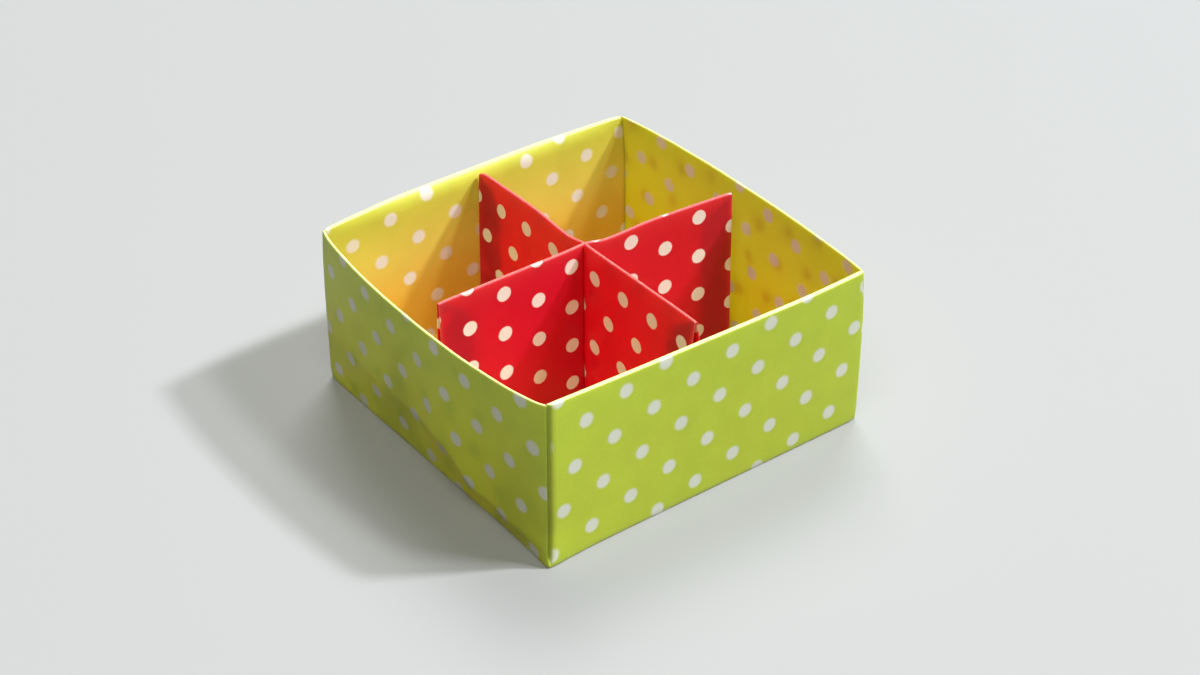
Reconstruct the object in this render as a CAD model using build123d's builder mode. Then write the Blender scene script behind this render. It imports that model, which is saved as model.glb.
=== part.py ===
from build123d import *
import os

# Folded paper box with a folded cross inside it. Two pieces of paper, two solids.
# Units are millimetres. The underside of the box lies on z = 0, centred on x = y = 0.

# Box: one square sheet, folded.
side = 53.0
height = 25.0
floor_plies = 0.3
thin_wall = 0.45
thick_wall = 0.75
fold_radius = 0.2

# How far each wall bellies out at the rim. The bottom folds stay straight.
belly_left = 2.6
belly_back = 0.9
belly_right = 0.5
# Shape of each belly: place along the wall as a share of half the side, then share of the belly.
curve_left = [(0.68, 0.62), (0.30, 0.92), (-0.11, 1.0), (-0.57, 0.79), (-0.85, 0.48)]
curve_back = [(0.60, 0.75), (0.19, 1.0), (-0.45, 0.94), (-0.75, 0.56)]
curve_right = [(0.57, 0.71), (0.0, 1.0), (-0.57, 0.71)]
# The left wall has a soft crease near its foot and leans more below it than above.
crease_level = 4.6
crease_share = 0.31
# A hair of the same curves at the bottom, so that every level has the same kind of edges.
bottom_share = 0.001

# Slits where a turned corner tucks in behind the folded edge of a thick wall.
slit_width = 0.15
slit_depth = 0.35
slit_inset = 0.35
slit_foot = 0.4
seam_width = 0.14
seam_depth = 0.12

# Divider: a second sheet, collapsed into a cross of four double arms.
# It is a little smaller than the box and stands nearer to the back wall.
arm_shortfall = 2.3
back_gap = 0.2
right_gap = 1.8
arm_rise = 0.1
# Each arm: direction in degrees from +X, and how far its plies spread at the tip.
arms = [(-4.3, 1.0), (90.7, 1.0), (180.4, 1.05), (270.5, 2.0)]
tip_shoulder_half_width = 0.42
tip_foot_half_width = 0.80
ply = 0.26
fold_half_width = 0.31
root_half_width = 0.36
shoulder_drop = 4.0
gap_start = 4.0
gap_drop = 1.0
gap_root_half_width = 0.03
notch_width = 0.12
notch_depth = 0.2

os.makedirs("parts", exist_ok=True)

half = side / 2
arm_length = half - arm_shortfall
arm_height = height - floor_plies + arm_rise
divider_x = half - thin_wall - right_gap - arm_length
divider_y = half - thick_wall - back_gap - arm_length


def lean(level):
    """Share of the belly that the back and right walls have at a level: none below, all at the rim."""
    return max(level / height, bottom_share)


def left_lean(level):
    """The same for the left wall, which leans more up to its crease."""
    below = crease_share * level / crease_level
    above = crease_share + (1 - crease_share) * (level - crease_level) / (height - crease_level)
    return max(min(below, crease_share), above, bottom_share)


def wall_ring(inset_x, inset_y, level):
    """Four edges of a level cut through the box, with the walls bellied as far as they are there."""
    x = half - inset_x
    y = half - inset_y
    right = belly_right * lean(level)
    back = belly_back * lean(level)
    left = belly_left * left_lean(level)
    Line((-x, -y), (x, -y))
    Spline((x, -y), *[(x + right * out, half * at) for at, out in reversed(curve_right)], (x, y))
    Spline((x, y), *[(half * at, y + back * out) for at, out in curve_back], (-x, y))
    Spline((-x, y), *[(-x - left * out, half * at) for at, out in curve_left], (-x, -y))


# Turn of the paper over the rim: how far in and how far down, for points round the fold.
half_turn = fold_radius * (1 - 0.5**0.5)
rim_turn = [(0, fold_radius), (half_turn, half_turn), (fold_radius, 0)]

with BuildPart() as box:
    # Outside of the folded box, straight at the bottom and bellied at the rim.
    for level in (0, crease_level):
        with BuildSketch(Plane.XY.offset(level)):
            with BuildLine():
                wall_ring(0, 0, level)
            make_face()
    for inward, down in rim_turn:
        level = height - down
        with BuildSketch(Plane.XY.offset(level)):
            with BuildLine():
                wall_ring(inward, inward, level)
            make_face()
    loft(ruled=True)

    # Inside, down to the floor. The rim is a fold, so it turns over to the inside.
    for level in (floor_plies, crease_level):
        with BuildSketch(Plane.XY.offset(level)):
            with BuildLine():
                wall_ring(thin_wall, thick_wall, level)
            make_face()
    for inward, down in rim_turn:
        level = height - down
        with BuildSketch(Plane.XY.offset(level)):
            with BuildLine():
                wall_ring(thin_wall - inward, thick_wall - inward, level)
            make_face()
    loft(ruled=True, mode=Mode.SUBTRACT)

    # Folded vertical edges of the two thick walls, outside.
    slit_x = half - slit_inset
    for wall_y in (-half, half):
        with BuildSketch(Plane.XY.offset(slit_foot)):
            with Locations((-slit_x, wall_y), (slit_x, wall_y)):
                Rectangle(slit_width, 2 * slit_depth)
        extrude(amount=height, mode=Mode.SUBTRACT)

    # The same folded edges, inside.
    inner_x = half - thin_wall - slit_width / 2
    inner_y = half - thick_wall
    for wall_y in (-inner_y, inner_y):
        with BuildSketch(Plane.XY.offset(slit_foot)):
            with Locations((-inner_x, wall_y), (inner_x, wall_y)):
                Rectangle(slit_width, 2 * slit_depth)
        extrude(amount=height, mode=Mode.SUBTRACT)

    # Four triangular flaps cover the floor and meet along its two diagonals.
    seam_length = 2 * (half - thick_wall) * 2**0.5
    with BuildSketch(Plane.XY.offset(floor_plies)):
        Rectangle(seam_length, seam_width, rotation=45)
        Rectangle(seam_length, seam_width, rotation=-45)
    extrude(amount=-seam_depth, mode=Mode.SUBTRACT)


def arm_plane(direction, reach):
    """Upright plane across an arm, at a distance out from the middle of the cross."""
    along = Vector(1, 0, 0).rotate(Axis.Z, direction)
    middle = Vector(divider_x, divider_y, floor_plies)
    across = Vector(0, 1, 0).rotate(Axis.Z, direction)
    return Plane(origin=middle + along * reach, x_dir=across, z_dir=along)


def arm_outline(fold, shoulder, foot):
    """Cross-section of an arm: two sloping plies under a round fold."""
    spring = arm_height - fold
    drop = arm_height - shoulder_drop
    Line((-foot, 0), (foot, 0))
    Line((foot, 0), (shoulder, drop))
    Line((shoulder, drop), (fold, spring))
    ThreePointArc((fold, spring), (0, arm_height), (-fold, spring))
    Line((-fold, spring), (-shoulder, drop))
    Line((-shoulder, drop), (-foot, 0))


def gap_outline(shoulder, foot):
    """Space between the two plies of an arm, open at the foot."""
    drop = arm_height - shoulder_drop
    top = arm_height - gap_drop
    Polyline((-foot, 0), (foot, 0), (shoulder, drop), (0, top), (-shoulder, drop), close=True)


with BuildPart() as divider:
    for direction, spread in arms:
        with BuildSketch(arm_plane(direction, 0)):
            with BuildLine():
                arm_outline(fold_half_width, root_half_width, root_half_width)
            make_face()
        with BuildSketch(arm_plane(direction, arm_length)):
            with BuildLine():
                arm_outline(fold_half_width, tip_shoulder_half_width * spread, tip_foot_half_width * spread)
            make_face()
        loft(ruled=True)

    # The plies part towards the tip, and the gap between them is open below.
    for direction, spread in arms:
        with BuildSketch(arm_plane(direction, gap_start)):
            with BuildLine():
                gap_outline(gap_root_half_width, gap_root_half_width)
            make_face()
        with BuildSketch(arm_plane(direction, arm_length)):
            with BuildLine():
                gap_outline(tip_shoulder_half_width * spread - ply, tip_foot_half_width * spread - ply)
            make_face()
        loft(ruled=True, mode=Mode.SUBTRACT)

    # Slits down the four inner corners, where folded edges meet.
    with BuildSketch(Plane.XY.offset(floor_plies)):
        with Locations((divider_x, divider_y)):
            with PolarLocations(root_half_width * 2**0.5, 4, start_angle=45):
                Rectangle(2 * notch_depth, notch_width)
    extrude(amount=arm_height, mode=Mode.SUBTRACT)

box.part.label = "box"
divider.part.label = "divider"
export_step(box.part, "parts/box.step")
export_step(divider.part, "parts/divider.step")
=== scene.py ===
# %% [markdown]
# # A folded paper box with a folded cross in it
#
# Two squares of printed paper: a lime green one folded into an open box, and a red one
# folded into a cross that stands in it and makes four compartments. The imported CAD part
# gives the place and size of both, and this script gives them their paper.

import math

import bpy
import numpy as np
from mathutils import Matrix, Vector


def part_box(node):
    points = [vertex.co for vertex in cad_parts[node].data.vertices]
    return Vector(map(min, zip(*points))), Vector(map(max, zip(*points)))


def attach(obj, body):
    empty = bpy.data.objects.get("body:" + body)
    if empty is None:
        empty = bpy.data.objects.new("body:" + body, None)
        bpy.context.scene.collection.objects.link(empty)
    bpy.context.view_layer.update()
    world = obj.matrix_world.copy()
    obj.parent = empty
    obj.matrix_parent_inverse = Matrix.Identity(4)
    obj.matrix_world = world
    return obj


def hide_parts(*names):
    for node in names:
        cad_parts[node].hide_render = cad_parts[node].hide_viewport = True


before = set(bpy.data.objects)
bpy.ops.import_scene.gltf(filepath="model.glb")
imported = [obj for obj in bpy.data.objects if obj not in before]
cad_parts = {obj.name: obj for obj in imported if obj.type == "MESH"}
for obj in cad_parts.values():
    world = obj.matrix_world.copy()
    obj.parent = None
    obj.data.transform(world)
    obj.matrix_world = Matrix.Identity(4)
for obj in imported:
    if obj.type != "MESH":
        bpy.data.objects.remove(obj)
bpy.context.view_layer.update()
MM = 0.001
print("pieces in the frame:", sorted(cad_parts))

# %% [markdown]
# ## Sizes
#
# Everything below is in millimetres and becomes metres only when a mesh is made. The
# side and height are read from the CAD box's own solid, so the paper follows them if
# they change. The thickness of a wall is that of its plies with the air between them:
# two plies in the left and right walls, up to six in the front and back ones, because
# the folded corners lie inside those.

# %% Sizes of the box and the cross
box_low, box_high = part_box("box")
cross_low, cross_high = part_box("divider")
half = -box_low.y / MM
height = box_high.z / MM
floor_top = cross_low.z / MM
cross_height = (cross_high.z - cross_low.z) / MM
thin_wall = 0.45
thick_wall = 0.75
print("half side, height, floor, cross:", [round(v, 2) for v in (half, height, floor_top, cross_height)])

# %% [markdown]
# ## A pen for node trees
#
# A node tree is only arithmetic drawn as boxes and wires. Writing it as Python sums is
# shorter and easier to read. A `Wire` is one output socket. Adding or multiplying two
# wires adds the Math node for it, and the reflected forms let a plain number come
# first, as in `1 - mask`. The same pen writes materials and geometry nodes.

# %% Wires: output sockets that can be used in sums
class Wire:
    def __init__(self, pen, socket):
        self.pen = pen
        self.socket = socket

    def _sum(self, operation, *values):
        return self.pen.node("ShaderNodeMath", {"operation": operation}, dict(enumerate(values)))

    def __add__(self, other):
        return self._sum("ADD", self, other)

    __radd__ = __add__

    def __mul__(self, other):
        return self._sum("MULTIPLY", self, other)

    __rmul__ = __mul__

    def __sub__(self, other):
        return self._sum("SUBTRACT", self, other)

    def __rsub__(self, other):
        return self._sum("SUBTRACT", other, self)

    def __truediv__(self, other):
        return self._sum("DIVIDE", self, other)

    def __pow__(self, other):
        return self._sum("POWER", self, other)

    def __abs__(self):
        return self._sum("ABSOLUTE", self)

    def __neg__(self):
        return self._sum("MULTIPLY", self, -1.0)

    def wrap(self, low, high):
        return self._sum("WRAP", self, high, low)

    def least(self, other):
        return self._sum("MINIMUM", self, other)

    def most(self, other):
        return self._sum("MAXIMUM", self, other)

    def soft_least(self, other, blend):
        return self._sum("SMOOTH_MIN", self, other, blend)

    def alone(self, operation):
        """A Math node with one input, such as COSINE, SINE, SIGN or SQRT."""
        return self._sum(operation, self)

    def between(self, low, high, kind="SMOOTHSTEP"):
        """0 at low, 1 at high and held outside them. low may be the larger."""
        sockets = {"Value": self, "From Min": low, "From Max": high}
        return self.pen.node("ShaderNodeMapRange", {"interpolation_type": kind}, sockets)


# %% The pen: adds nodes to one tree
class Pen:
    def __init__(self, tree):
        self.tree = tree

    def node(self, kind, settings=None, sockets=None, output=0):
        """Any node: its settings first, then the values or wires of its sockets."""
        made = self.tree.nodes.new(kind)
        for name, value in (settings or {}).items():
            if name == "curve":
                draw_curve(made.mapping, value)
            else:
                setattr(made, name, value)
        for key, value in (sockets or {}).items():
            if isinstance(value, Wire):
                self.tree.links.new(value.socket, made.inputs[key])
            else:
                made.inputs[key].default_value = value
        return Wire(self, made.outputs[output]) if made.outputs else None

    def parts(self, wire):
        """The three numbers of a vector."""
        split = self.node("ShaderNodeSeparateXYZ", None, {0: wire})
        return [Wire(self, socket) for socket in split.socket.node.outputs]

    def join(self, x, y, z):
        return self.node("ShaderNodeCombineXYZ", None, {0: x, 1: y, 2: z})

    def plus(self, first, second):
        """The sum of two vectors."""
        return self.node("ShaderNodeVectorMath", {"operation": "ADD"}, {0: first, 1: second})

    def scaled(self, wire, factor):
        return self.node("ShaderNodeVectorMath", {"operation": "SCALE"}, {0: wire, "Scale": factor})

    def mix(self, factor, first, second):
        """Two colours mixed. factor 0 is the first."""
        return self.node("ShaderNodeMix", {"data_type": "RGBA"}, {0: factor, 6: first, 7: second}, 2)

    def noise(self, place, size, detail=2.0, seed=0.0):
        """Soft noise about 0, with lumps of this size in the units of place."""
        settings = {"noise_dimensions": "4D"}
        sockets = {"Vector": place, "W": seed, "Scale": 1.0 / size, "Detail": detail}
        return self.node("ShaderNodeTexNoise", settings, sockets) - 0.5

    def painted(self, name):
        """A value on the points of a mesh, as a material reads it. It is 0 where a mesh has none."""
        return self.node("ShaderNodeAttribute", {"attribute_name": name}, None, 2)

    def carried(self, name):
        """A value on the points of a mesh, as a geometry tree reads it."""
        return self.node("GeometryNodeInputNamedAttribute", {"data_type": "FLOAT"}, {"Name": name})


def draw_curve(mapping, points):
    curve = mapping.curves[0]
    curve.points[0].location = points[0]
    curve.points[-1].location = points[-1]
    for point in points[1:-1]:
        curve.points.new(*point)
    mapping.update()


print("pen ready")

# %% [markdown]
# ## Dotted paper
#
# Craft paper of this kind is white pulp coloured on its face, with round dots left pale.
# The dots lie in rows, each row moved half a step along from the last. Dots are simple
# enough to work out: the material measures how far a point is from the nearest dot by
# wrapping its sheet coordinates twice, once for the even rows and once for the odd
# ones. Using the sheet's own coordinates, and not the object's, lets the dots bend
# round a fold and be cut at the edge of a ply, as printed dots are.

# %% Dots in rows
PITCH = 6.36


def dot_mask(pen, place, radius, blur, row_gap):
    """1 on a dot and 0 beside it, with an edge that is not quite sharp or round."""
    along, across, _ = pen.parts(place)

    def to_dot(step, row):
        u = (along + step).wrap(-PITCH / 2, PITCH / 2)
        v = (across + row).wrap(-row_gap, row_gap)
        return (u * u + v * v).alone("SQRT")

    ragged = pen.noise(place, 0.35, 3.0) * 0.16
    distance = to_dot(0, 0).least(to_dot(PITCH / 2, row_gap)) + ragged
    return distance.between(radius + blur, radius - blur)


print("dots every", PITCH, "mm along a row")

# %% [markdown]
# Up close the colour is not even. The pulp lies in clouds some millimetres wide, its
# fibres are drawn out along the sheet, and there are specks finer than a fibre. Three
# noises of those sizes could each have a use of their own, but they serve twice here:
# they vary the colour, and together they make the fine relief that catches the light,
# so that both agree, as they do in real pulp.

# %% Clouds, fibres and specks of pulp
FIBRE_STRETCH = (1.0, 2.2, 1.0)


def pulp(pen, place):
    """Three grains of the paper, each about 0."""
    stretched = pen.node("ShaderNodeVectorMath", {"operation": "MULTIPLY"}, {0: place, 1: FIBRE_STRETCH})
    clouds = pen.noise(place, 5.0, 4.0, 2.0)
    fibres = pen.noise(stretched, 0.42, 4.0, 5.0)
    specks = pen.noise(place, 0.16, 2.0, 8.0)
    return clouds, fibres, specks


def pulp_relief(pen, clouds, fibres, specks):
    """A bump of a few hundredths of a millimetre."""
    relief = fibres * 0.8 + specks * 0.5 + clouds * 1.5
    return pen.node("ShaderNodeBump", None, {"Strength": 0.55, "Distance": 0.00006, "Height": relief})


print("fibres are", FIBRE_STRETCH[1], "times as long as they are wide")

# %% [markdown]
# One sheet shows several colours. Inside the box, the light that is thrown from wall to wall
# and off the red cross is painted into the colour: the lime is painted golden there, and
# warmer still towards the floor. In a slit or a tuck little light gets in, so shade is
# painted there and the paper is darker. Where a fold is rubbed, the colour has cracked and
# the pale pulp shows; the same pale colour, fading down from the top folds of the cross and
# over the round rim, is also a painted sheen and highlight. Each could be a material of its
# own, but a mesh can say more finely where it is: its points carry the values `inside`,
# `slit`, `tuck` and the wear value, and one material reads them.

# %% Colours of the sheet
# Painted bounce light, deepest inside the box.
PAINTED_DEEP_BOUNCE = (1.0, 0.78, 0.3)
# Share of the dot colour under the painted bounce light inside the box.
DOT_SHARE_IN_BOUNCE = (0.98, 0.98, 1.0)


def linear(red, green, blue):
    """The numbers a shader wants for a colour as it looks on a screen."""
    return tuple(c / 12.92 if c < 0.04 else ((c + 0.055) / 1.055) ** 2.4 for c in (red, green, blue)) + (1.0,)


def sheet_colour(pen, dots, grains, colour, inner, dot, pale_wear_and_sheen):
    """The colour of the printed sheet, with painted bounce light, painted shade and a painted sheen, and where its
    folds have cracked.
    """
    clouds, fibres, specks = grains
    deep = pen.painted("inside")
    # Painted shade in the slits of the corners and in the tucks of the cross.
    painted_shade = pen.painted("slit") * 0.4 + (pen.painted("tuck") * 3.0).least(0.7)
    # Painted bounce light: the inner colour, and warmer still further down.
    painted_bounce = pen.mix(deep.between(0.8, 1.5), linear(*inner), linear(*PAINTED_DEEP_BOUNCE))
    cloudy = (0.45 + clouds * 1.1 + fibres * 0.7 + specks * 0.5).between(0.0, 1.0, "LINEAR")
    paper = pen.scaled(pen.mix(deep.least(1.0), linear(*colour), painted_bounce), 1.0 - cloudy * 0.2 - painted_shade)

    dot_in_painted_bounce = [c * share for c, share in zip(dot, DOT_SHARE_IN_BOUNCE)]
    faint = (0.5 + fibres * 1.2 + clouds * 0.8).between(0.0, 1.0, "LINEAR")
    ink = pen.scaled(pen.mix(deep.least(1.0), linear(*dot), linear(*dot_in_painted_bounce)), 1.0 - faint * 0.1)

    worn = pen.painted("worn")
    cracked = (worn + fibres * 1.1 + specks * 0.8 - 0.12).between(0.25, 0.95)
    # Cracked wear, and under it a painted sheen that follows the wear value without cracks.
    wear_and_sheen_share = cracked.most(worn * 0.35)
    return pen.mix(wear_and_sheen_share, pen.mix(dots, paper, ink), linear(*pale_wear_and_sheen)), cracked


print("deep inside, lime turns to", PAINTED_DEEP_BOUNCE)

# %% [markdown]
# Thin paper lets light through, which is why a wall glows on its shaded side. Thicker
# solids with light scattered inside them could show it, but a ply is far too thin for
# that. A Translucent shader takes light from behind and gives it the colour that the
# pulp leaves in it, and a Mix Shader sets its share. A dot, a tucked layer or more
# plies stop part of it. The value `layered` is 1 on walls where plies lie on each other
# or stand apart with air between them, and 0 on the right wall, which passes the most.

# %% Light through the paper
INSIDE_PASSES = 1.4
DOT_STOPS = 0.85
PLIES_STOP = 0.5
TUCK_STOPS = 3.0
TUCK_PASSES = 0.3


def share_through(pen, dots, thin):
    """The share of light that comes from behind. thin is that of a plain ply outside."""
    past_tuck = (1.0 - pen.painted("tuck") * TUCK_STOPS).most(TUCK_PASSES)
    clear = (1.0 - dots * DOT_STOPS) * (1.0 - pen.painted("layered") * PLIES_STOP) * past_tuck
    return thin * (1.0 + pen.painted("inside").least(1.0) * INSIDE_PASSES) * clear


print("a dot stops", DOT_STOPS, "of the light")

# %% The two papers
def dotted_paper(name, colour, inner, dot, pale_wear_and_sheen, glow, thin, radius, blur, row_gap):
    """Printed craft paper. Its colours are written as they look, its lengths in millimetres."""
    material = bpy.data.materials.new(name)
    material.use_nodes = True
    material.node_tree.nodes.clear()
    pen = Pen(material.node_tree)
    place = pen.node("ShaderNodeUVMap", {"uv_map": "print"})
    # The dots are left out in the slits, which adds to their painted shade.
    dots = dot_mask(pen, place, radius, blur, row_gap) * (1.0 - pen.painted("slit"))
    grains = pulp(pen, place)
    finish, cracked = sheet_colour(pen, dots, grains, colour, inner, dot, pale_wear_and_sheen)
    rough = 0.5 + grains[1] * 0.22 - dots * 0.05 + cracked * 0.1
    bump = pulp_relief(pen, *grains)
    sockets = {"Base Color": finish, "Roughness": rough, "Normal": bump, "Specular IOR Level": 0.8}
    front = pen.node("ShaderNodeBsdfPrincipled", None, sockets)
    behind = pen.node("ShaderNodeBsdfTranslucent", None, {0: linear(*glow)})
    surface = pen.node("ShaderNodeMixShader", None, {0: share_through(pen, dots, thin), 1: front, 2: behind})
    pen.node("ShaderNodeOutputMaterial", None, {0: surface})
    return material


LIME, RED = (0.79, 0.89, 0.24), (0.87, 0.02, 0.22)
# The lime's inner colour is painted bounce light, and each paper's pale colour is for wear and a painted sheen.
lime = dotted_paper(
    "lime_dotted_paper", colour=LIME, inner=(1.0, 0.92, 0.44), dot=(0.91, 0.93, 0.88), pale_wear_and_sheen=(0.96, 0.98, 0.66),
    glow=(0.95, 0.93, 0.1), thin=0.27, radius=1.05, blur=0.28, row_gap=5.766,
)
red = dotted_paper(
    "red_dotted_paper", colour=RED, inner=RED, dot=(0.95, 0.94, 0.94), pale_wear_and_sheen=(0.96, 0.55, 0.53),
    glow=(1.0, 0.04, 0.08), thin=0.42, radius=1.12, blur=0.1, row_gap=5.66,
)
print("papers:", lime.name, red.name)

# %% [markdown]
# ## The box, folded with straight walls
#
# Seen from above, the outside of the box is one closed line. At each corner the paper
# of a thin wall rolls round and tucks into a slit behind the folded edge of a thick
# wall. The inside has the same slits in its corners. So two lines with the same number
# of points, one outside and one inside, describe the whole box: rings of points run
# from the middle of the underside, out to the bottom fold, up the wall, over the rim,
# down inside and along the floor flaps to the middle again.
#
# A corner is written once, as steps away from its point: first along the thick wall,
# then along the thin one. Outside there are two ways that it can stand. Near the floor,
# and all the way up at the right front corner, the fold is pressed shut. Elsewhere it
# has opened into a soft groove, and `SLIT` says how deep in the groove each step lies.

# %% One corner, outside and inside
OUTER_OPEN = [
    (0, 0.95), (0, 0.60), (0.005, 0.40), (0.03, 0.31), (0.09, 0.30), (0.15, 0.38),
    (0.20, 0.62), (0.44, 0.62), (0.47, 0.30), (0.57, 0.13), (0.80, 0.03), (1.3, 0),
]
OUTER_SHUT = [
    (0, 0.95), (0, 0.6), (0.05, 0.3), (0.14, 0.14), (0.27, 0.07), (0.36, 0.045),
    (0.40, 0.04), (0.47, 0.035), (0.53, 0.03), (0.64, 0.02), (0.87, 0.005), (1.3, 0),
]
INNER_STEPS = [
    (0, 1.15), (0, 0.8), (0, 0.5), (0, 0.28), (0, 0.14), (0.01, 0.02),
    (0.02, -0.27), (0.12, -0.27), (0.14, -0.05), (0.25, -0.005), (0.6, 0), (1.1, 0),
]
INNER_OPEN = [(thin_wall + x, thick_wall + y) for x, y in INNER_STEPS]
INNER_SHUT = [(thin_wall + x, thick_wall + max(y, -0.01)) for x, y in INNER_STEPS]
SLIT = [0, 0, 0, 0.4, 1, 1, 1, 1, 1, 0.8, 0.35, 0]
CORNER = len(OUTER_OPEN)
TUCKED = 6
WALL = 60
print("points round a corner:", CORNER, "and between two corners:", WALL - 1)

# %% [markdown]
# Each point also remembers how far along its own wall it lies on the flat sheet, because
# the printed dots follow the sheet and not the box. Round a corner, that distance is
# measured along the paper. A point in a corner belongs to two walls, so it keeps two
# such distances, and each little face uses the one of its own wall.

# %% A ring of points round the box
def run_lengths(steps):
    """Distance along a thin and a thick wall's paper at each point of a corner."""
    spans = [math.dist(p, q) for p, q in zip(steps, steps[1:])]
    thin = [half - steps[0][1] + sum(spans[:i]) for i in range(CORNER)]
    thick = [half - steps[-1][0] + sum(spans[i:]) for i in range(CORNER)]
    return thin, thick


def ring(steps):
    """x, y, distance along the thin wall's paper and along the thick wall's, anticlockwise."""
    thin, thick = run_lengths(steps)
    corners = []
    for sx, sy, backwards in ((-1, -1, False), (1, -1, True), (1, 1, False), (-1, 1, True)):
        points = [(sx * (half - dx), sy * (half - dy), sy * a, sx * b) for (dx, dy), a, b in zip(steps, thin, thick)]
        corners.append(points[::-1] if backwards else points)
    line = []
    for here, after in zip(corners, corners[1:] + corners[:1]):
        line += here
        start, end = np.array(here[-1]), np.array(after[0])
        line += [tuple(start + (end - start) * i / WALL) for i in range(1, WALL)]
    return np.array(line)


def walls_round():
    """The wall that each face of a ring belongs to."""
    thin_faces = TUCKED + 1
    thick_faces = CORNER - 1 - thin_faces
    walls = []
    for before, after in (("left", "front"), ("front", "right"), ("right", "back"), ("back", "left")):
        counts = (thin_faces, thick_faces) if before in ("left", "right") else (thick_faces, thin_faces)
        walls += [before] * counts[0] + [after] * (counts[1] + WALL)
    return walls


wall_of = walls_round()
print("faces round the box:", len(wall_of), "points:", len(ring(OUTER_OPEN)))

# %% [markdown]
# The rings are listed as rows: inside or outside, how far shrunk towards the middle, the
# height, how far up the paper from the bottom fold, and how worn the fold is there. Worn
# folds are paler, and the material uses that; over the round rim the same value also paints
# a highlight. The rings lie close together where the paper turns, at the bottom fold and
# over the round rim, and further apart between.

# %% The rings from underside to floor
FOOT_ROUND = 0.18
RIM_ROUND = 0.24
WALL_RINGS = 39
RIM_RINGS = 12

rows = [(0, share, 0, (share - 1) * half, 0) for share in (0.25, 0.5, 0.75, 0.9, 0.97)]
for inset, up, worn in ((0.16, 0, 0.5), (0.05, 0.05, 0.8), (0, FOOT_ROUND, 0.5)):
    rows.append((0, 1 - inset / half, up, up, worn))
for i in range(1, WALL_RINGS + 1):
    up = FOOT_ROUND + (height - RIM_ROUND - FOOT_ROUND) * i / WALL_RINGS
    rows.append((0, 1, up, up, 0))
# Over the round rim the wear value also paints a highlight.
for i in range(1, RIM_RINGS):
    turn = math.pi * i / RIM_RINGS
    level = height - RIM_ROUND + RIM_ROUND * math.sin(turn)
    path = height + 0.05 * (i - RIM_RINGS / 2)
    rows.append(((1 - math.cos(turn)) / 2, 1, level, path, math.sin(turn) ** 0.6))
for i in range(WALL_RINGS + 1):
    down = (height - RIM_ROUND - floor_top - 0.12) * i / WALL_RINGS
    rows.append((1, 1, height - RIM_ROUND - down, height + RIM_ROUND + down, 0))
for inset, up in ((0.05, 0.06), (0.3, 0)):
    rows.append((1, 1 - inset / half, floor_top + up, 2 * height + inset, 0))
rows += [(1, share, floor_top, 2 * height + (1 - share) * half, 0) for share in (0.95, 0.85, 0.7, 0.5, 0.3, 0.12)]
print("rings:", len(rows))

# %% [markdown]
# A mesh can carry a second set of coordinates, called UVs, that say where each corner of
# each face lies on a flat picture. Here the flat picture is the sheet of paper itself,
# in millimetres, turned so that the first number runs along a row of printed dots. The
# rows of this sheet run at 45 degrees to the box, because a box of this fold stands
# turned on its square.
#
# A fold takes up a little paper, so the print on a wall lies a little further out than
# the box alone would say. The left wall's paper has also crept half a millimetre, as
# paper does when one corner is folded before the next.

# %% Where a point of the box lies on the flat sheet
FIRST_DOT = (2.48, 3.6)
FOLD_ALLOWANCE = 0.8
LEFT_CREEP = (0.45, 0.6)


def on_print(x, y):
    """A place on the sheet, counted along and across the rows from the first dot."""
    return ((x + y) / 2**0.5 - FIRST_DOT[0], (y - x) / 2**0.5 - FIRST_DOT[1])


def sheet_place(wall, along, up):
    """Sheet place of a point that lies along a wall and up the paper from its bottom fold."""
    out = half + up + FOLD_ALLOWANCE * min(1 + up / half, 1)
    flat = {
        "front": (along, -out),
        "back": (along, out),
        "left": (LEFT_CREEP[0] - out, along + LEFT_CREEP[1]),
        "right": (out, along),
    }
    return on_print(*flat[wall])


print("the middle of the sheet is at", on_print(0, 0), "of its print")

# %% [markdown]
# The rings meet the corners here. Each ring blends from the shut corner to the open one
# over the first millimetres above the floor. Where the front corner's groove reaches
# the rim, the paper dips into it, and where an inner slit reaches the floor, so does
# the floor.

# %% Places in a ring
SHUT_CORNER = 1
SLIT_FOOT = 0.3
SLIT_OPENING = 1.4


def corner_at(corner):
    """Where a corner's points lie in a ring, counted from the left front corner."""
    start = corner * (CORNER + WALL - 1)
    return slice(start, start + CORNER)


def groove_points():
    """The two deepest points of each corner's slit."""
    deepest = []
    for corner in range(4):
        order = range(CORNER) if corner % 2 == 0 else range(CORNER)[::-1]
        deepest += [corner_at(corner).start + order[k] for k in (TUCKED, TUCKED + 1)]
    return deepest


print("deepest points of the slits:", groove_points())

# %% Points of the straight-walled box
def box_points():
    """Every ring's points, the two paper distances of each point, and how deep in a slit it lies."""
    lines = [ring(steps) for steps in (OUTER_SHUT, OUTER_OPEN, INNER_SHUT, INNER_OPEN)]
    count = len(lines[0])
    openness, hidden = np.ones(count), np.zeros(count)
    openness[corner_at(SHUT_CORNER)] = 0.0
    for corner in range(4):
        hidden[corner_at(corner)] = SLIT if corner % 2 == 0 else SLIT[::-1]
    deepest = groove_points()
    points, lengths, in_slit = [], [], []
    for inward, share, z, _, worn in rows:
        open_here = min(max((z - SLIT_FOOT) / SLIT_OPENING, 0), 1)
        open_here *= open_here * (3 - 2 * open_here)
        outer = lines[0] + (lines[1] - lines[0]) * open_here * openness[:, None]
        inner = lines[2] + (lines[3] - lines[2]) * open_here
        line = outer + (inner - outer) * inward
        level = np.full(count, float(z))
        if 0 < inward < 1:
            level[deepest[:2]] -= 0.35 * worn
        if inward == 1 and share < 1:
            level[deepest] -= 0.09
        points.append(np.column_stack([line[:, :2] * share, level]))
        lengths.append(line[:, 2:] * share)
        in_slit.append(hidden * openness * open_here * (1 - inward))
    return points, lengths, in_slit


points, lengths, in_slit = box_points()
print("rings with points:", len(points), "of", len(points[0]))

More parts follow.
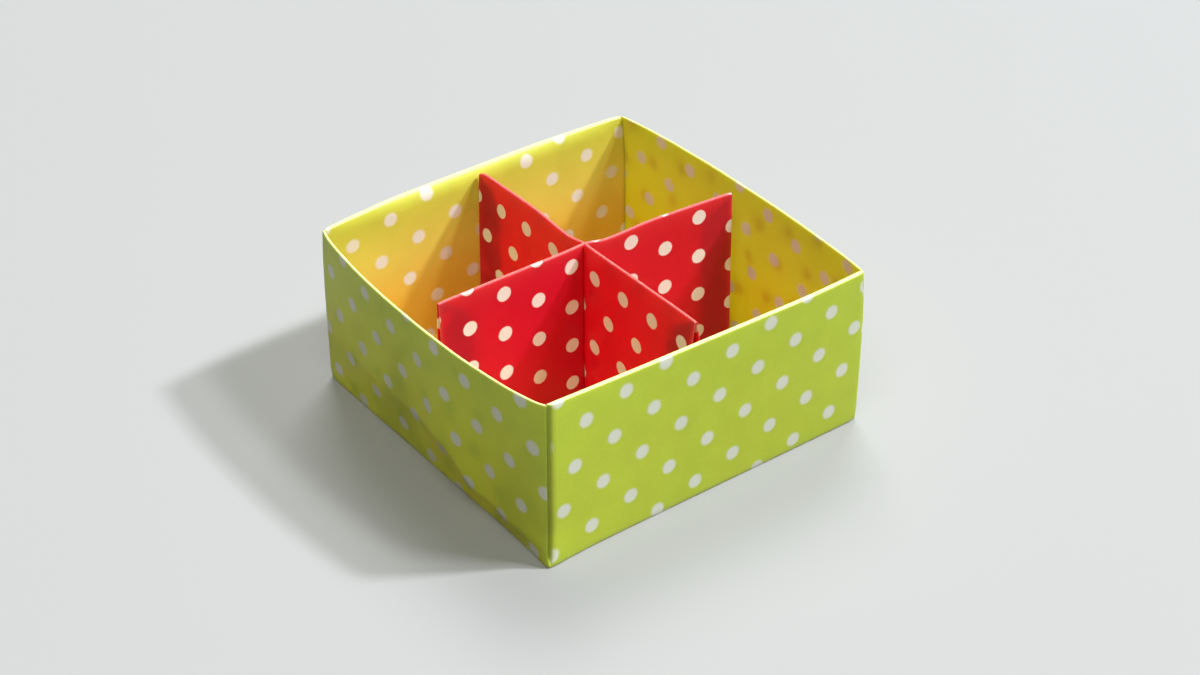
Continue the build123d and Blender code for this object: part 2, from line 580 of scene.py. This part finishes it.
# %% [markdown]
# Faces join each ring to the next, and a fan closes the middle of the underside and of
# the floor. The print belongs to the corners of faces and not to points, so that it can
# break off at the edge between two walls, as it does where one sheet passes behind
# another.

# %% A mesh with its print and its values
def mesh_piece(name, verts, faces, prints, values):
    """A mesh object in metres with a print map and a value or more on each point."""
    mesh = bpy.data.meshes.new(name)
    mesh.from_pydata((np.array(verts) * MM).tolist(), [], faces)
    layer = mesh.uv_layers.new(name="print")
    layer.uv.foreach_set("vector", np.array(prints, dtype=np.float32).ravel())
    for key, numbers in values.items():
        data = mesh.attributes.new(key, "FLOAT", "POINT").data
        data.foreach_set("value", np.array(numbers, dtype=np.float32))
    mesh.shade_smooth()
    made = bpy.data.objects.new(name, mesh)
    bpy.context.collection.objects.link(made)
    return made


print("mesh helper ready")

# %% What each point of the box tells its material
# The painted bounce light that turns the lime golden grows over this depth below the rim.
PAINTED_BOUNCE_DEPTH = 11


def box_values(verts):
    """The values on the points of the rings and on the two middle points after them."""
    count = len(points[0])
    inward = np.repeat([row[0] for row in rows], count).tolist() + [0, 1]
    return {
        # Wear on the folds, with a painted highlight over the rim.
        "worn": np.repeat([row[4] for row in rows], count).tolist() + [0, 0],
        "inward": inward,
        # Depth inside the box, by which the material paints bounce light.
        "inside": [at * (0.3 + 0.7 * (height - z) / PAINTED_BOUNCE_DEPTH) for at, (_, _, z) in zip(inward, verts)],
        "slit": np.concatenate(in_slit).tolist() + [0, 0],
        "layered": [float(abs(y) >= x) for x, y, _ in verts],
    }


print("lime is golden", PAINTED_BOUNCE_DEPTH, "mm below the rim")

# %% Join the rings into the box
def ring_mesh(name):
    count = len(points[0])
    verts = np.vstack(points + [np.array([[0, 0, 0], [0, 0, floor_top]])])
    under, over = len(verts) - 2, len(verts) - 1
    last = len(rows) - 1
    faces, prints = [], []

    def print_of(r, i, wall):
        side = 0 if wall in ("left", "right") else 1
        return sheet_place(wall, lengths[r][i % count][side], rows[r][3])

    for i, wall in enumerate(wall_of):
        after = (i + 1) % count
        faces.append((under, after, i))
        prints += [on_print(0, 0), print_of(0, after, wall), print_of(0, i, wall)]
        for r in range(last):
            a, b = r * count, (r + 1) * count
            faces.append((a + i, a + after, b + after, b + i))
            prints += [print_of(r, i, wall), print_of(r, after, wall)]
            prints += [print_of(r + 1, after, wall), print_of(r + 1, i, wall)]
        faces.append((last * count + i, last * count + after, over))
        prints += [print_of(last, i, wall), print_of(last, after, wall), sheet_place(wall, 0, 2 * height + half)]
    return mesh_piece(name, verts, faces, prints, box_values(verts))


folded_box = ring_mesh("folded_box")
print("straight box:", len(folded_box.data.vertices), "points,", len(folded_box.data.polygons), "faces")

# %% [markdown]
# ## Bellied walls, a buckle and sprung plies
#
# A paper wall is held only by its bottom fold and its corners, so its rim bows out
# between them. That is a rule: the outward push grows with the height and follows a
# curve along the wall. A Geometry Nodes tree suits it, because the rule stays in one
# place with a named number for each wall, and the straight mesh stays simple. Moving
# the points by hand would give one box only, and these inputs give any box of its kind.

# %% Start and end of a geometry tree
def new_tree(name, inputs):
    """A geometry tree with named inputs, the pen that writes in it, and a wire for each input."""
    tree = bpy.data.node_groups.new(name, "GeometryNodeTree")
    tree.interface.new_socket(name="Paper", in_out="INPUT", socket_type="NodeSocketGeometry")
    tree.interface.new_socket(name="Folded", in_out="OUTPUT", socket_type="NodeSocketGeometry")
    for label, value in inputs.items():
        kind = {tuple: "NodeSocketVector", float: "NodeSocketFloat"}.get(type(value), "NodeSocketMaterial")
        tree.interface.new_socket(name=label, in_out="INPUT", socket_type=kind).default_value = value
    pen = Pen(tree)
    entry = tree.nodes.new("NodeGroupInput")
    return tree, pen, {socket.name: Wire(pen, socket) for socket in entry.outputs if socket.name}


def end_tree(tree, pen, given, socket, place):
    """Sets the points to a place or moves them by an offset, then ends the tree."""
    moved = pen.node("GeometryNodeSetPosition", None, {"Geometry": given["Paper"], socket: pen.scaled(place, MM)})
    real = pen.node("GeometryNodeRealizeInstances", None, {"Geometry": moved})
    done = pen.node("GeometryNodeSetMaterial", None, {"Geometry": real, "Material": given["Finish"]})
    tree.links.new(done.socket, tree.nodes.new("NodeGroupOutput").inputs["Folded"])


print("trees can be started and ended")

# %% Run a tree on a piece
def run_tree(piece, tree, **values):
    """Runs the tree on a piece with these inputs and keeps the result as its plain mesh."""
    modifier = piece.modifiers.new("fold", "NODES")
    modifier.node_group = tree
    for item in tree.interface.items_tree:
        key = item.name.lower().replace(" ", "_")
        if item.in_out == "INPUT" and key in values:
            modifier[item.identifier] = values.pop(key)
    assert not values, f"no such input: {sorted(values)}"
    view = bpy.context.evaluated_depsgraph_get()
    result = bpy.data.meshes.new_from_object(piece.evaluated_get(view), preserve_all_data_layers=True, depsgraph=view)
    piece.modifiers.remove(modifier)
    result.name = piece.name
    piece.data = result
    return piece


print("trees can be run")

# %% [markdown]
# The first inputs say how far each wall stands out at the middle of its rim. The front
# wall has many plies, so it only leans and waves a little. The four corners have leant
# as well, each its own way, and the foot of the front corner is pushed out.

# %% The tree that bellies the walls
belly_inputs = {
    "Left belly": 2.6, "Back belly": 0.9, "Right belly": 0.7, "Front lean": 0.29, "Front wave": 0.75,
    "Buckle": 1.5, "Back lining": 0.15, "Centre crease": 0.42, "Waviness": 0.12, "Worn corner": 0.08,
    "Front corner": (0.3, 0.4, 0.45), "Right corner": (-0.78, -0.1, 0.0), "Left corner": (0.05, -0.6, 0.0),
    "Back corner": (-1.08, -0.2, 0.0), "Front foot": (-0.6, -0.6, 0.0), "Seed": 4.0, "Finish": lime,
}
belly, pen, given = new_tree("belly and buckle", belly_inputs)
x, y, z = pen.parts(pen.scaled(pen.node("GeometryNodeInputPosition"), 1 / MM))
rise = z * (1 / height)
share_x, share_y = x * (1 / half), y * (1 / half)
near_wall = (half - 8, half - 1.5)
print("inputs:", ", ".join(belly_inputs))

# %% The belly along each wall
def along_wall(place, shares):
    """How much of the belly a place along a wall gets."""
    points = [(0, 0)] + [(at / 2 + 0.5, share) for at, share in shares] + [(1, 0)]
    return pen.node("ShaderNodeFloatCurve", {"curve": points}, {"Value": place * (0.5 / half) + 0.5})


left_shape = along_wall(y, [(-0.85, 0.48), (-0.57, 0.79), (-0.11, 1.0), (0.30, 0.92), (0.68, 0.62)])
back_shape = along_wall(x, [(-0.75, 0.56), (-0.45, 0.94), (0.19, 1.0), (0.60, 0.75)])
right_shape = along_wall(y, [(-0.57, 0.71), (0, 1.0), (0.57, 0.71)])
front_shape = share_x * (1 - share_x * share_x)
print("belly curves drawn")

# %% [markdown]
# Hands have left their marks. The left wall was pressed when the box was folded, so it
# stands out most along a crease that drops towards the front corner, and falls back
# below it to the bottom fold. The right wall was folded once in the middle, and a soft
# line is left there. The back wall's inner plies stay nearly straight while the outer
# one bows, so that they have sprung apart under a fat round rim: `curl` carries the
# lining out to meet the rim in its last millimetres.

# %% Buckle, centre crease and curled lining
crease = 8.4 - 5.0 * y.between(-5, -11.8) - 1.0 * y.between(-12, -20)
softness = 0.03 + 0.3 * y.between(-5.5, 0)
below, above = (z / crease).most(0.0) ** 2.4, (height - z) / (height - crease)
strength = 0.4 + 0.6 * y.between(2, -5) - 0.5 * y.between(-9, -14)
pressed = below.soft_least(above, softness) * strength

fold_line = (-(((y + 1.3) * 1.9) ** 2)).alone("EXPONENT") * z.between(1, 4) * z.between(height - 1, height - 4)

curl = z.between(height - 2.4, height, "LINEAR") ** 3
inward = pen.carried("inward")
lining = given["Back lining"] * rise + (given["Back belly"] - given["Back lining"]) * curl
print("marks drawn")

# %% The push on each wall
push_left = (given["Left belly"] * rise + given["Buckle"] * pressed) * left_shape * (-x).between(*near_wall)
push_back = (given["Back belly"] * rise * (1 - inward) + lining * inward) * back_shape * y.between(*near_wall)
bowed_right = given["Right belly"] * rise * right_shape
push_right = (bowed_right + given["Centre crease"] * fold_line) * x.between(*near_wall)
waved_front = given["Front lean"] + given["Front wave"] * front_shape
push_front = waved_front * rise * (-y).between(*near_wall)
print("four pushes")

# %% [markdown]
# Paper that has been handled is never flat, so slow noise waves all the walls, and the
# rim ripples a little up and down. The sharp bottom corners are worn round.

# %% Waves, and worn bottom corners
spot = pen.join(x, y, z)
wave = given["Waviness"] * z.between(0.5, 6)
wave_x = pen.noise(spot, 11.0, 1.0, given["Seed"]) * wave
wave_y = pen.noise(spot, 11.0, 1.0, given["Seed"] + 20.0) * wave
ripple = pen.noise(spot, 6.0, 1.0, given["Seed"] + 40.0) * z.between(height - 3, height) * 0.12
gap_x, gap_y = half - abs(x), half - abs(y)
worn_corner = (gap_x * gap_x + gap_y * gap_y + z * z).alone("SQRT").between(2.0, 0.0) * given["Worn corner"]
move_x = push_right - push_left + wave_x - x.alone("SIGN") * worn_corner
move_y = push_back - push_front + wave_y - y.alone("SIGN") * worn_corner
move = pen.join(move_x, move_y, ripple + worn_corner * 0.7)
print("waves added")

# %% Lean the corners and fold the box
for label, side_x, side_y in (("Front", -1, -1), ("Right", 1, -1), ("Left", -1, 1), ("Back", 1, 1)):
    close = (share_x * side_x).most(0.0).least(1.0) * (share_y * side_y).most(0.0).least(1.0)
    move = pen.plus(move, pen.scaled(given[f"{label} corner"], close**3 * rise**5))
    if label == "Front":
        move = pen.plus(move, pen.scaled(given["Front foot"], close**6 * (1 - rise * 5).most(0.0)))
end_tree(belly, pen, given, "Offset", move)
run_tree(folded_box, belly, finish=lime)
size = [round(v / MM, 2) for v in folded_box.dimensions]
print("folded box:", size, "mm,", len(folded_box.data.polygons), "faces,", list(folded_box.data.attributes.keys()))

# %% [markdown]
# ## The cross
#
# The red sheet is folded in half, in half again, pressed into a cross and opened out so
# that its four double arms stand at right angles. Each arm is one strip that runs up one
# side, over a round fold at the top and down the other side. At its tip the paper turns
# back in between the two sides, deeper towards the foot. The arms are alike apart from
# their direction and how far their sides have sprung apart, so one tree folds them all,
# and a flat strip goes in.
#
# The strip is written flat: distance out from the middle along x, and distance from the
# top fold along y. Two values on each point say how far the tip is turned: `inset` is
# how far in from the outer side, and `tuck` runs from 0 at the tip to 1 deep inside.

# %% The flat strip of one arm
FOLD = 0.31
EDGE = 0.1
TIP_RINGS = 8
ARM_RINGS = 40
SIDE_RINGS = 26


def strip_rows(length):
    """Distance out, inset, tuck and distance along the paper, from the middle to the deep end of the tuck."""
    out = [(at, 0, 0, at) for at in (0, 0.15, 0.3, 0.4, 0.5, 0.65)]
    last = length - EDGE
    for i in range(ARM_RINGS + 1):
        at = 0.9 + (last - 0.9) * i / ARM_RINGS
        out.append((at, 0, 0, at))
    for i in range(1, TIP_RINGS + 1):
        turn = math.pi * i / TIP_RINGS
        out.append((last + EDGE * math.sin(turn), EDGE * (1 - math.cos(turn)), 0, last + EDGE * turn))
    out += [(last, 2 * EDGE, tuck, last + EDGE * math.pi) for tuck in (0.1, 0.3, 0.5, 0.75, 1.0)]
    return out


def strip_columns():
    """Distance from the top fold: close together on the fold, wider below."""
    fold = [FOLD * math.pi / 2 * i / 6 for i in range(7)]
    foot = fold[-1] + cross_height - FOLD
    below = [fold[-1] + (foot - fold[-1]) * (i / SIDE_RINGS) ** 1.25 for i in range(1, SIDE_RINGS + 1)]
    side = fold + below
    return [-s for s in reversed(side[1:])] + side


print("strip:", len(strip_rows(24.2)), "by", len(strip_columns()))

# %% [markdown]
# Two sides of neighbouring arms are one piece of paper that turns in a sharp inner
# corner, which shows as a dark line. The top fold and the fold at the tip are the ones
# that fingers press and rub, so they are worn. Below the top fold the same pale colour
# fades down the sides as a painted sheen.

# %% Inner corners, rubbed folds and a painted sheen
def inner_corner(reach, down):
    """How far a side turns in beside the middle, below its top."""
    near_middle = min(max((0.62 - reach) / 0.35, 0), 1)
    below_top = min(max((abs(down) - 0.5) / 1.2, 0), 1)
    return 0.24 * near_middle * near_middle * below_top


def wear_and_sheen_share(to_tip, down, inset, tuck):
    """How worn a point is, with a painted sheen fading down the sides: most on the top fold, then on the outer turn of
    the tip.
    """
    # The slow fall below the top fold is a painted sheen.
    top = max(1 - abs(down) / 0.62, 0.55 * math.exp(-abs(down) / 1.1))
    tip = 0.75 * math.exp(-((to_tip / 0.12) ** 2)) * (1 - tuck)
    return max(top, tip if inset < 1.5 * EDGE else 0)


print("top fold worn:", wear_and_sheen_share(12, 0, 0, 0), "side worn:", round(wear_and_sheen_share(12, 8, 0, 0), 4))

# %% Make a strip and give it its print
TUCK_TOP = 0.4
TUCK_DEPTH = 1.3
TUCK_MOST = 5


def arm_strip(name, length, left_print, right_print):
    """left_print and right_print turn a place (out, down) on a side into a place in the print."""
    across, lines = strip_columns(), strip_rows(length)
    wide = len(across)
    verts, insets, tucks, worn = [], [], [], []
    for reach, inset, tuck, _ in lines:
        for s in across:
            verts.append((reach, s, 0))
            insets.append(inset + inner_corner(reach, s))
            tucks.append(tuck)
            worn.append(wear_and_sheen_share(length - reach, s, inset, tuck))

    def print_of(line, s, left):
        _, _, tuck, path = lines[line]
        place = path + tuck * min(TUCK_TOP + TUCK_DEPTH * abs(s), TUCK_MOST)
        return left_print(place, s) if left else right_print(place, -s)

    faces, prints = [], []
    for r in range(len(lines) - 1):
        for c in range(wide - 1):
            a, b = r * wide + c, (r + 1) * wide + c
            faces.append((a, b, b + 1, a + 1))
            left = across[c] + across[c + 1] > 0
            prints += [print_of(r, across[c], left), print_of(r + 1, across[c], left)]
            prints += [print_of(r + 1, across[c + 1], left), print_of(r, across[c + 1], left)]
        faces.append((r * wide + wide - 1, (r + 1) * wide + wide - 1, (r + 1) * wide, r * wide))
        prints += [print_of(r, across[-1], True)] * 4
    for c in range(wide // 2):
        faces.append((c, c + 1, wide - 2 - c, wide - 1 - c))
        prints += [print_of(0, across[c], False)] * 4
    return mesh_piece(name, verts, faces, prints, {"inset": insets, "tuck": tucks, "worn": worn})


print("strip maker ready")

# %% [markdown]
# The tree reads the flat strip and works out each point's folded place: round the top
# fold by sine and cosine, then down a side that stands a little further out towards its
# foot and its tip, and at last turned to the arm's direction. Three more inputs give
# each arm its own handling: its bow, how round the top of its tip has become, and a
# shallow dip in its top edge beside the middle.

# %% The tree that folds an arm
arm_inputs = {
    "Direction": 0.0, "Length": 24.2, "Shoulder spread": 0.42, "Foot spread": 0.8, "Root spread": 0.36,
    "Shoulder drop": 4.0, "Arm height": cross_height, "Floor": floor_top, "Middle x": 0.05, "Middle y": 1.35,
    "Bow": 0.0, "Tip round": 0.1, "Dip": 0.0, "Waviness": 0.1, "Seed": 1.0, "Finish": red,
}
arm, pen, given = new_tree("fold an arm", arm_inputs)
reach, path, _ = pen.parts(pen.scaled(pen.node("GeometryNodeInputPosition"), 1 / MM))
inset, tuck = pen.carried("inset"), pen.carried("tuck")

quarter = FOLD * math.pi / 2
turn = abs(path).least(quarter) * (1 / FOLD)
down = FOLD * (1 - turn.alone("COSINE")) + (abs(path) - quarter).most(0.0)
share = (reach / given["Length"]).least(1.0)
shoulder = down.between(FOLD, given["Shoulder drop"], "LINEAR")
foot = down.between(given["Shoulder drop"], given["Arm height"], "LINEAR")
at_tip = (given["Shoulder spread"] - FOLD) * shoulder + (given["Foot spread"] - given["Shoulder spread"]) * foot
at_root = (given["Root spread"] - FOLD) * shoulder
out = FOLD * turn.alone("SINE") + at_root + (at_tip - at_root) * share
half_width = (out - inset).most(0.0) * (1 - tuck)
print("inputs:", ", ".join(arm_inputs))

# %% Place the arm and end its tree
bowed = given["Bow"] * (share * math.pi).alone("SINE")
spot = pen.join(reach, down, given["Seed"])
wave = pen.noise(spot, 9.0, 1.0, given["Seed"]) * given["Waviness"] * share.between(0, 0.25)
out_x = reach - tuck * (TUCK_TOP + TUCK_DEPTH * down).least(float(TUCK_MOST))
out_y = path.alone("SIGN") * half_width + bowed + wave
cosine, sine = given["Direction"].alone("COSINE"), given["Direction"].alone("SINE")
place_x = given["Middle x"] + out_x * cosine - out_y * sine
place_y = given["Middle y"] + out_x * sine + out_y * cosine

nicks = pen.noise(spot, 2.2, 3.0, given["Seed"] + 9.0) * down.between(1.5, 0.0) * 0.12
rounding = given["Tip round"] * (reach / given["Length"]) ** 36 * (1 - down * 0.5).most(0.0)
dipped = given["Dip"] * share.between(0, 0.14) * share.between(0.5, 0.14) * (1 - down / 25)
place_z = given["Floor"] + given["Arm height"] - down + nicks - rounding - dipped
end_tree(arm, pen, given, "Position", pen.join(place_x, place_y, place_z))
print("arm tree:", len(arm.nodes), "nodes")

# %% [markdown]
# The dots run level on two of the arms and upright on the other two, because the sheet
# is turned a quarter from one arm to the next. Each line below has two groups. The
# first says how an arm is folded: its direction and length, how far its sides have
# sprung apart at the shoulder and foot of the tip, its bow, the rounding of its tip and
# its dip. The second says how its print lies: which way the rows run, how far out and
# down the first dot is, how far the fold has pulled the paper in at the top of the tip,
# and how far it has sagged beside the middle.

# %% The four arms
FOLDS = ("direction", "length", "shoulder_spread", "foot_spread", "bow", "tip_round", "dip")
ARMS = {
    "arm_right": ((-4.3, 24.4, 0.40, 0.78, 0.05, 0.15, 0.5), ("upright", 7.46, 8.66, 0.0, 0.0)),
    "arm_back": ((90.7, 24.25, 0.46, 0.72, -0.05, 0.6, 0.55), ("level", 3.44, -1.39, 4.6, 0.0)),
    "arm_left": ((180.4, 24.1, 0.45, 0.86, 0.05, 0.1, 0.1), ("upright", 2.44, 9.12, 0.0, 0.5)),
    "arm_front": ((270.5, 24.0, 0.80, 1.60, 0.0, 0.1, 0.05), ("level", 6.05, -1.27, 0.0, 0.0)),
}
COUNTED_ON_LEFT = ("arm_back", "arm_left")


def printed_side(rows_run, dot_out, dot_down, pull, sag):
    """Turns a place (out, down) on the side that the dots are counted on into one in the print."""
    def place(out, down):
        crept = out + pull * max(out / 24 - 0.35, 0) ** 2 * max(1 - down / 12, 0)
        sunk = down - sag * max(1 - out / 9, 0) * min(down / 9, 1)
        if rows_run == "upright":
            return (sunk - dot_down, crept - dot_out)
        return (crept - dot_out, sunk - dot_down)

    return place


print("arms:", ", ".join(ARMS))

# %% Fold the four arms and join them
def fold_arm(name, seed):
    """A folded arm. Its print runs on over the top fold, where the way down turns negative."""
    folds = dict(zip(FOLDS, ARMS[name][0]))
    folds["direction"] = math.radians(folds["direction"])
    counted = printed_side(*ARMS[name][1])

    def over_fold(out, down):
        return counted(out, -down)

    left, right = (counted, over_fold) if name in COUNTED_ON_LEFT else (over_fold, counted)
    return run_tree(arm_strip(name, folds["length"], left, right), arm, seed=float(seed), finish=red, **folds)


folded_arms = [fold_arm(name, seed) for seed, name in enumerate(ARMS, start=1)]
folded_cross = folded_arms[0]
with bpy.context.temp_override(active_object=folded_cross, object=folded_cross, selected_editable_objects=folded_arms):
    bpy.ops.object.join()
folded_cross.name = "folded_cross"
size = [round(v / MM, 2) for v in folded_cross.dimensions]
print("folded cross:", size, "mm,", len(folded_cross.data.polygons), "faces")

# %% [markdown]
# ## Put the paper in the frame
#
# Both pieces stand for their CAD solids, which stay for collisions. They ride on the
# one body that the part has.

# %% Ride and replace
for piece, node, slot in ((folded_box, "box", "box_paper"), (folded_cross, "divider", "divider_paper")):
    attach(piece, "root")
    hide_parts(node)
print("placed:", folded_box.name, folded_cross.name)

# %% [markdown]
# ## Floor, light and camera
#
# A plain pale floor. The camera sees it as pale as it is, but the light that it throws
# back at the paper is dimmer, as from a dark table, so that the lower part of the walls
# keeps its shade.

# %% Floor
FLOOR_REACH = 3.0
FLOOR_SEEN = (0.33, 0.34, 0.36, 1)
FLOOR_THROWN = (0.08, 0.08, 0.08, 1)

floor_mesh = bpy.data.meshes.new("floor")
corners = [(sx * FLOOR_REACH, sy * FLOOR_REACH, 0) for sx, sy in ((-1, -1), (1, -1), (1, 1), (-1, 1))]
floor_mesh.from_pydata(corners, [], [(0, 1, 2, 3)])
floor = bpy.data.objects.new("floor", floor_mesh)
bpy.context.collection.objects.link(floor)
floor.location.z = -0.00002
floor_finish = bpy.data.materials.new("pale_floor")
floor_finish.use_nodes = True
floor_finish.node_tree.nodes.clear()
pen = Pen(floor_finish.node_tree)
rays = ("Is Camera Ray", "Is Glossy Ray", "Is Transmission Ray")
seen = [pen.node("ShaderNodeLightPath", None, None, output) for output in rays]
tone = pen.mix((seen[0] + seen[1] + seen[2]).least(1.0), FLOOR_THROWN, FLOOR_SEEN)
pen.node("ShaderNodeOutputMaterial", None, {0: pen.node("ShaderNodeBsdfDiffuse", None, {0: tone})})
floor_mesh.materials.append(floor_finish)
print("floor ready")

# %% [markdown]
# A small lamp stands high on the right and casts the slanting shadows of the cross. A
# second one beside it softens them. A wide one high on the left fills the shaded walls,
# and a wide one behind lights the far walls from outside, so that their thin paper
# glows. Lamps at a distance of metres light the whole box evenly.

# %% Lamps and the room
LAMP_DISTANCE = 2.5


def lamp(name, towards, size, power, colour=(1, 1, 1)):
    """A square soft lamp in a direction from the box, facing it."""
    light = bpy.data.lights.new(name, "AREA")
    light.size = size
    light.energy = power * LAMP_DISTANCE**2 * math.pi**2
    light.color = colour
    made = bpy.data.objects.new(name, light)
    aim = Vector(towards).normalized()
    made.location = aim * LAMP_DISTANCE
    made.rotation_euler = aim.to_track_quat("Z", "Y").to_euler()
    bpy.context.collection.objects.link(made)


lamp("key_lamp", (1.0, -0.62, 1.27), 0.2, 0.92)
lamp("second_lamp", (0.75, -0.75, 1.5), 0.35, 0.45)
lamp("fill_lamp", (-0.45, -0.42, 1.15), 1.6, 0.6, (1.0, 0.99, 0.8))
lamp("back_lamp", (0.6, 0.7, 1.3), 1.2, 0.85, (1.0, 0.98, 0.93))

world = bpy.data.worlds.new("room")
world.use_nodes = True
world.node_tree.nodes["Background"].inputs["Color"].default_value = (1.0, 0.98, 0.95, 1)
world.node_tree.nodes["Background"].inputs["Strength"].default_value = 0.08
bpy.context.scene.world = world
bpy.context.scene.view_settings.view_transform = "Standard"

# %% [markdown]
# The camera looks down on the front corner from a third of a metre, as a hand-held one
# does over a small thing on a table. Its long lens keeps the walls nearly parallel. A
# camera can be aimed by angles, but its three own directions, right, up and back, are
# easier to check: they are the columns of its matrix.

# %% Camera
camera_data = bpy.data.cameras.new("camera")
camera_data.sensor_width = 36
camera_data.lens = 75.55
camera_data.clip_start = 0.01
camera = bpy.data.objects.new("camera", camera_data)
right = Vector((0.797913, -0.602772, -0.00047))
up = Vector((0.34333, 0.453838, 0.822287))
back = Vector((-0.495439, -0.656275, 0.569073))
stand = Matrix.Translation(Vector((-0.171975, -0.23007, 0.209011)))
camera.matrix_world = stand @ Matrix((right, up, back)).transposed().to_4x4()
bpy.context.collection.objects.link(camera)
bpy.context.scene.camera = camera
print("camera at", [round(v, 3) for v in camera.location])
